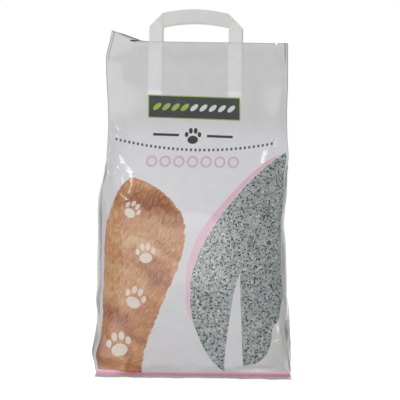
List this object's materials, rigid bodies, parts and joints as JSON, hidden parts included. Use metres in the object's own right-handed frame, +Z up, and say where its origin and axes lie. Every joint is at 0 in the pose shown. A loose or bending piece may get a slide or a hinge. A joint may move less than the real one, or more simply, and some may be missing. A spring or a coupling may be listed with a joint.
{
  "type": "filled cat litter sack",
  "caption": "Upright gusseted film sack filled with cat litter, with two folded strip handles at its flat top.",
  "frame": {"origin": "on the floor under the middle of the sack's outline", "axes": "+Z up, front panel faces -Y, +X to the right seen from the front"},
  "size_m": [0.366, 0.1767, 0.6795],
  "materials": {
    "sack_film": "glossy white printed polyethylene film, softly creased",
    "handle_strip": "satin white polyethylene strip, folded at the corners"
  },
  "bodies": {
    "root": {"filled_sack": "sack_film", "front_handle": "handle_strip", "rear_handle": "handle_strip"}
  },
  "joints": []
}
